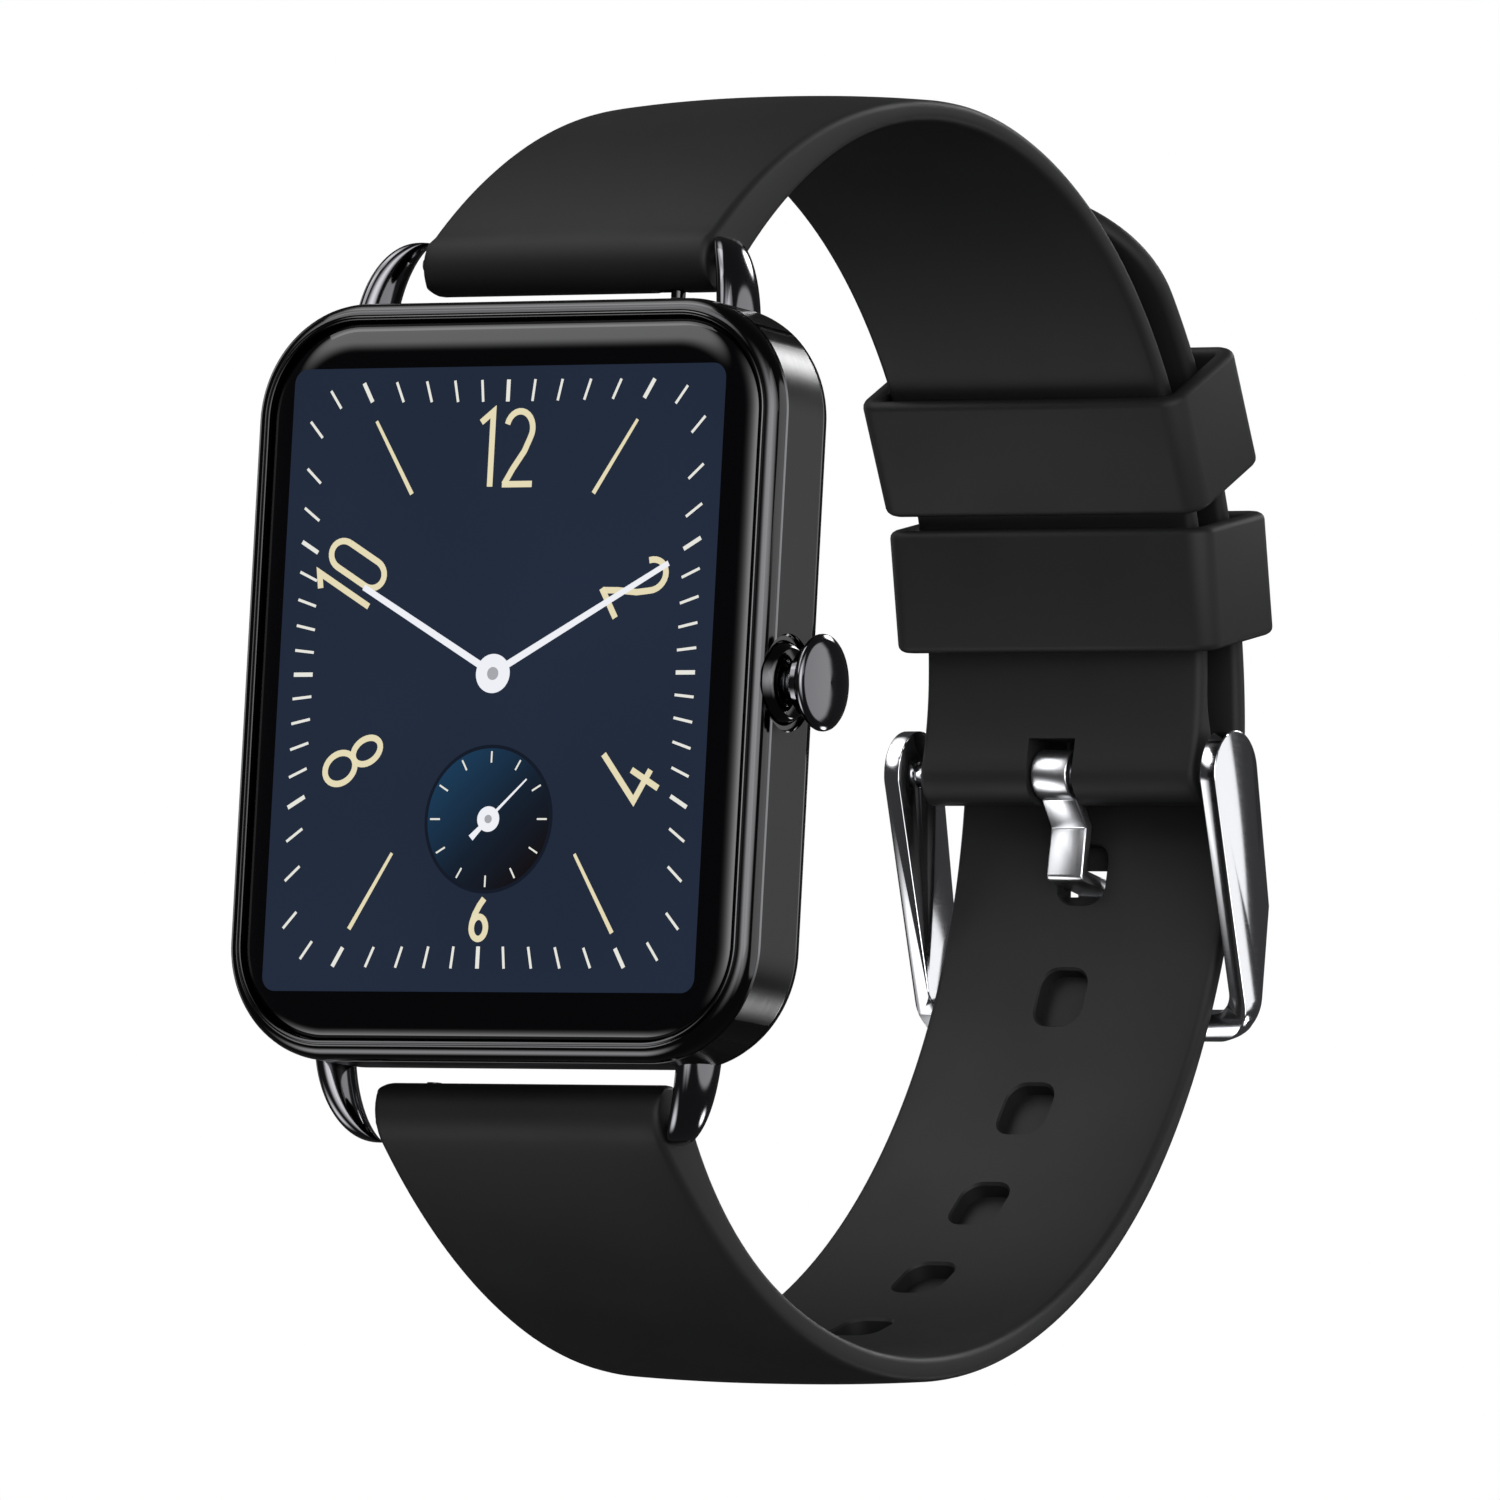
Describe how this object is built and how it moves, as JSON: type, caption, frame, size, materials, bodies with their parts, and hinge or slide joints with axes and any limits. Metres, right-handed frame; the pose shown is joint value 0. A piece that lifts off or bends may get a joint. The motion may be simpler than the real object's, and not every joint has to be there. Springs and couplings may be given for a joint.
{
  "type": "smartwatch",
  "caption": "Rectangular smartwatch with a black metal case, curved wire lugs, a push crown, and a silicone strap closed by a pin buckle and two keepers.",
  "frame": {"origin": "centre of the flat charging seat on the back of the case", "axes": "+X towards the crown, +Z towards 12 o'clock, +Y out of the case back into the wrist opening"},
  "size_m": [0.0404, 0.0774, 0.0806],
  "materials": {
    "black_chrome": "glossy black chrome plating",
    "cover_glass": "polished, dark border",
    "display": "navy dial image",
    "seal": "matte",
    "back_shell": "fine satin",
    "small_steel": "bright turned",
    "contact_gold": "gold flash",
    "sensor_gloss": "polished smoked",
    "chassis_alloy": "as milled",
    "battery_foil": "pouch foil",
    "circuit_board": "solder mask",
    "chip_resin": "moulded resin",
    "strap_rubber": "matte silicone",
    "buckle_steel": "polished steel"
  },
  "bodies": {
    "case": {"case_frame": "black_chrome", "cover_glass": "cover_glass", "glass_gasket": "seal", "display_panel": "display", "back_cover": "back_shell", "cover_screws": "small_steel", "charging_contacts": "contact_gold", "sensor_window": "sensor_gloss", "back_seal": "seal", "chassis_plate": "chassis_alloy", "battery": "battery_foil", "main_board": "circuit_board", "board_chips": "chip_resin", "vibration_motor": "small_steel", "speaker_module": "chip_resin", "sensor_board": "circuit_board", "alignment_magnets": "small_steel", "crown_collar": "black_chrome", "crown_seal": "seal", "crown_switch": "chip_resin", "lug_upper_right": "black_chrome", "lug_upper_left": "black_chrome", "lug_lower_right": "black_chrome", "lug_lower_left": "black_chrome"},
    "crown_plunger": {"crown_plunger": "chip_resin"},
    "crown": {"crown_cap": "black_chrome", "crown_shaft": "small_steel", "crown_neck": "black_chrome"},
    "upper_strap": {"upper_strap": "strap_rubber", "upper_bar_tube": "small_steel", "upper_bar_fixed_pin": "small_steel", "upper_bar_spring": "small_steel", "buckle_bar": "small_steel"},
    "upper_release": {"upper_release_pin": "small_steel"},
    "lower_strap": {"lower_strap": "strap_rubber", "lower_bar_tube": "small_steel", "lower_bar_fixed_pin": "small_steel", "lower_bar_spring": "small_steel"},
    "lower_release": {"lower_release_pin": "small_steel"},
    "keeper_upper": {"keeper_upper": "strap_rubber"},
    "keeper_lower": {"keeper_lower": "strap_rubber"},
    "buckle": {"buckle_frame": "buckle_steel"},
    "tongue": {"buckle_tongue": "buckle_steel"}
  },
  "joints": [
    {"name": "crown_press", "type": "slide", "parent": "case", "child": "crown_plunger", "axis": [-1, 0, 0], "range_m": [0, 0.0004], "stiffness_N_per_m": 1500, "springref_m": -0.0006},
    {"name": "crown_turn", "type": "hinge", "parent": "crown_plunger", "child": "crown", "pos_m": [0.0186, -0.0073, 0], "axis": [1, 0, 0], "continuous": true},
    {"name": "upper_strap_swing", "type": "hinge", "parent": "case", "child": "upper_strap", "pos_m": [0, -0.0036, 0.02645], "axis": [1, 0, 0], "range_deg": [-0.1, 0.3]},
    {"name": "lower_strap_swing", "type": "hinge", "parent": "case", "child": "lower_strap", "pos_m": [0, -0.0036, -0.02645], "axis": [1, 0, 0], "range_deg": [-0.1, 0.3]},
    {"name": "upper_release_slide", "type": "slide", "parent": "upper_strap", "child": "upper_release", "axis": [-1, 0, 0], "range_m": [0, 0.001], "stiffness_N_per_m": 400, "springref_m": -0.002},
    {"name": "lower_release_slide", "type": "slide", "parent": "lower_strap", "child": "lower_release", "axis": [1, 0, 0], "range_m": [0, 0.001], "stiffness_N_per_m": 400, "springref_m": -0.002},
    {"name": "keeper_upper_slide", "type": "hinge", "parent": "upper_strap", "child": "keeper_upper", "pos_m": [0, 0.02551, 0.0051], "axis": [1, 0, 0], "range_deg": [-0.6, 8]},
    {"name": "keeper_lower_slide", "type": "hinge", "parent": "upper_strap", "child": "keeper_lower", "pos_m": [0, 0.02551, 0.0051], "axis": [1, 0, 0], "range_deg": [-3, 0.6]},
    {"name": "buckle_swing", "type": "hinge", "parent": "upper_strap", "child": "buckle", "pos_m": [0, 0.0607, 0.00177], "axis": [1, 0, 0], "range_deg": [0, 4]},
    {"name": "tongue_lift", "type": "hinge", "parent": "buckle", "child": "tongue", "pos_m": [0, 0.0607, 0.00177], "axis": [1, 0, 0], "range_deg": [0, 2]}
  ]
}
